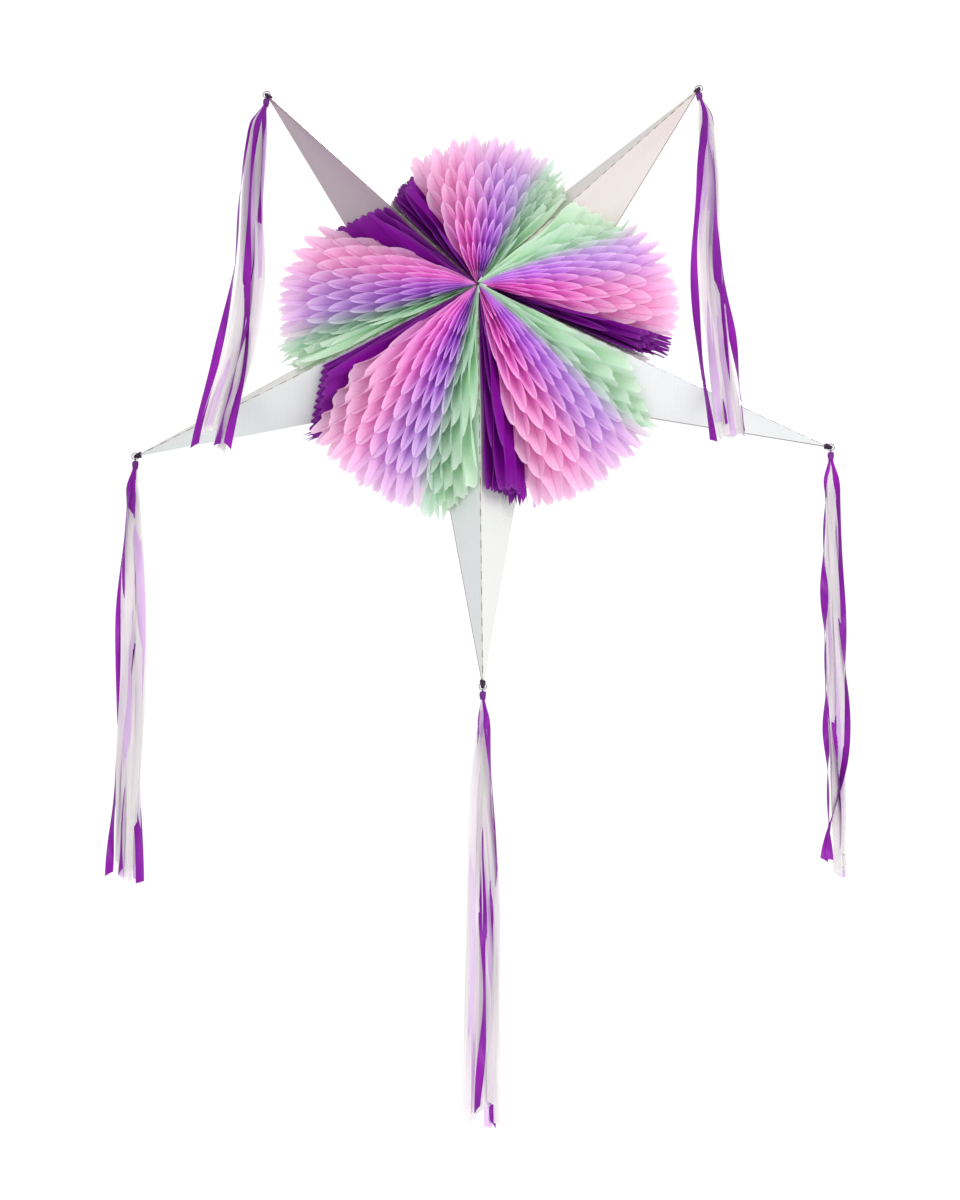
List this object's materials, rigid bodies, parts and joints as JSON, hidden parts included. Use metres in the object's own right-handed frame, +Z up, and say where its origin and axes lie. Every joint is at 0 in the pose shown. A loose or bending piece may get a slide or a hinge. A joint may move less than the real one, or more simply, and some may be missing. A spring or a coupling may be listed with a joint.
{
  "type": "star pinata",
  "caption": "Folded card star pinata with honeycomb tissue fans across its front, a filler door behind, a hanging tab and a streamer tassel on each point.",
  "frame": {"origin": "centre of the hanging eyelet, in the tab at the back of the top valley", "axes": "+Z up, opposite the single point that hangs straight down; -Y out of the honeycomb front; +X to the right as seen from the front"},
  "size_m": [0.8072, 0.2441, 1.2298],
  "materials": {
    "card": "glossy pearlescent laminate over corrugated card",
    "tissue_purple": "thin dyed tissue, slightly translucent",
    "tissue_pink": "thin dyed tissue, slightly translucent",
    "tissue_lavender": "thin dyed tissue, slightly translucent",
    "tissue_mint": "thin dyed tissue, slightly translucent",
    "strip_purple": "satin",
    "strip_lavender": "satin, translucent",
    "strip_clear": "satin, translucent",
    "knot_purple": "twisted strip, satin",
    "thread": "twisted thread",
    "eyelet": "polished"
  },
  "bodies": {
    "star": {"arm_bottom": "card", "arm_right": "card", "arm_upper_right": "card", "arm_upper_left": "card", "arm_left": "card", "loop_bottom": "thread", "loop_right": "thread", "loop_upper_right": "thread", "loop_upper_left": "thread", "loop_left": "thread", "pad_lower_right_mint": "tissue_mint", "pad_lower_right_lavender": "tissue_lavender", "pad_lower_right_pink": "tissue_pink", "pad_lower_right_purple": "tissue_purple", "pad_right_mint": "tissue_mint", "pad_right_lavender": "tissue_lavender", "pad_right_pink": "tissue_pink", "pad_right_purple": "tissue_purple", "pad_top_mint": "tissue_mint", "pad_top_lavender": "tissue_lavender", "pad_top_pink": "tissue_pink", "pad_top_purple": "tissue_purple", "pad_left_mint": "tissue_mint", "pad_left_lavender": "tissue_lavender", "pad_left_pink": "tissue_pink", "pad_left_purple": "tissue_purple", "pad_lower_left_mint": "tissue_mint", "pad_lower_left_lavender": "tissue_lavender", "pad_lower_left_pink": "tissue_pink", "pad_lower_left_purple": "tissue_purple", "hang_tab": "card", "hang_eyelet": "eyelet", "centre_binding": "thread"},
    "door": {"filler_door": "card"},
    "link_bottom": {"link_bottom": "thread"},
    "tassel_bottom": {"knot_bottom": "knot_purple", "strips_purple_bottom": "strip_purple", "strips_lavender_bottom": "strip_lavender", "strips_clear_bottom": "strip_clear"},
    "link_right": {"link_right": "thread"},
    "tassel_right": {"knot_right": "knot_purple", "strips_purple_right": "strip_purple", "strips_lavender_right": "strip_lavender", "strips_clear_right": "strip_clear"},
    "link_upper_right": {"link_upper_right": "thread"},
    "tassel_upper_right": {"knot_upper_right": "knot_purple", "strips_purple_upper_right": "strip_purple", "strips_lavender_upper_right": "strip_lavender", "strips_clear_upper_right": "strip_clear"},
    "link_upper_left": {"link_upper_left": "thread"},
    "tassel_upper_left": {"knot_upper_left": "knot_purple", "strips_purple_upper_left": "strip_purple", "strips_lavender_upper_left": "strip_lavender", "strips_clear_upper_left": "strip_clear"},
    "link_left": {"link_left": "thread"},
    "tassel_left": {"knot_left": "knot_purple", "strips_purple_left": "strip_purple", "strips_lavender_left": "strip_lavender", "strips_clear_left": "strip_clear"}
  },
  "joints": [
    {"name": "door_hinge", "type": "hinge", "parent": "star", "child": "door", "pos_m": [0.07561, -0.01965, -0.08787], "axis": [0.6327, -0.7474, 0.2025], "range_deg": [0, 80]},
    {"name": "fore_aft_bottom", "type": "hinge", "parent": "star", "child": "link_bottom", "pos_m": [0, -0.0118, -0.504], "axis": [-1, 0, 0], "range_deg": [-50, 50]},
    {"name": "sideways_bottom", "type": "hinge", "parent": "link_bottom", "child": "tassel_bottom", "pos_m": [0, -0.0118, -0.5062], "axis": [0, -1, 0], "range_deg": [-35, 35]},
    {"name": "fore_aft_right", "type": "hinge", "parent": "star", "child": "link_right", "pos_m": [0.37958, -0.0118, -0.22568], "axis": [-1, 0, 0], "range_deg": [-50, 50]},
    {"name": "sideways_right", "type": "hinge", "parent": "link_right", "child": "tassel_right", "pos_m": [0.37958, -0.0118, -0.22788], "axis": [0, -1, 0], "range_deg": [-15, 50]},
    {"name": "fore_aft_upper_right", "type": "hinge", "parent": "star", "child": "link_upper_right", "pos_m": [0.23952, -0.0118, 0.21186], "axis": [-1, 0, 0], "range_deg": [0, 50]},
    {"name": "sideways_upper_right", "type": "hinge", "parent": "link_upper_right", "child": "tassel_upper_right", "pos_m": [0.23952, -0.01222, 0.2097], "axis": [0, -0.9816, 0.1908], "range_deg": [0, 30]},
    {"name": "fore_aft_upper_left", "type": "hinge", "parent": "star", "child": "link_upper_left", "pos_m": [-0.23952, -0.0118, 0.21186], "axis": [-1, 0, 0], "range_deg": [0, 50]},
    {"name": "sideways_upper_left", "type": "hinge", "parent": "link_upper_left", "child": "tassel_upper_left", "pos_m": [-0.23952, -0.01222, 0.2097], "axis": [0, -0.9816, 0.1908], "range_deg": [-30, 0]},
    {"name": "fore_aft_left", "type": "hinge", "parent": "star", "child": "link_left", "pos_m": [-0.37958, -0.0118, -0.22568], "axis": [-1, 0, 0], "range_deg": [-50, 50]},
    {"name": "sideways_left", "type": "hinge", "parent": "link_left", "child": "tassel_left", "pos_m": [-0.37958, -0.0118, -0.22788], "axis": [0, -1, 0], "range_deg": [-50, 15]}
  ]
}
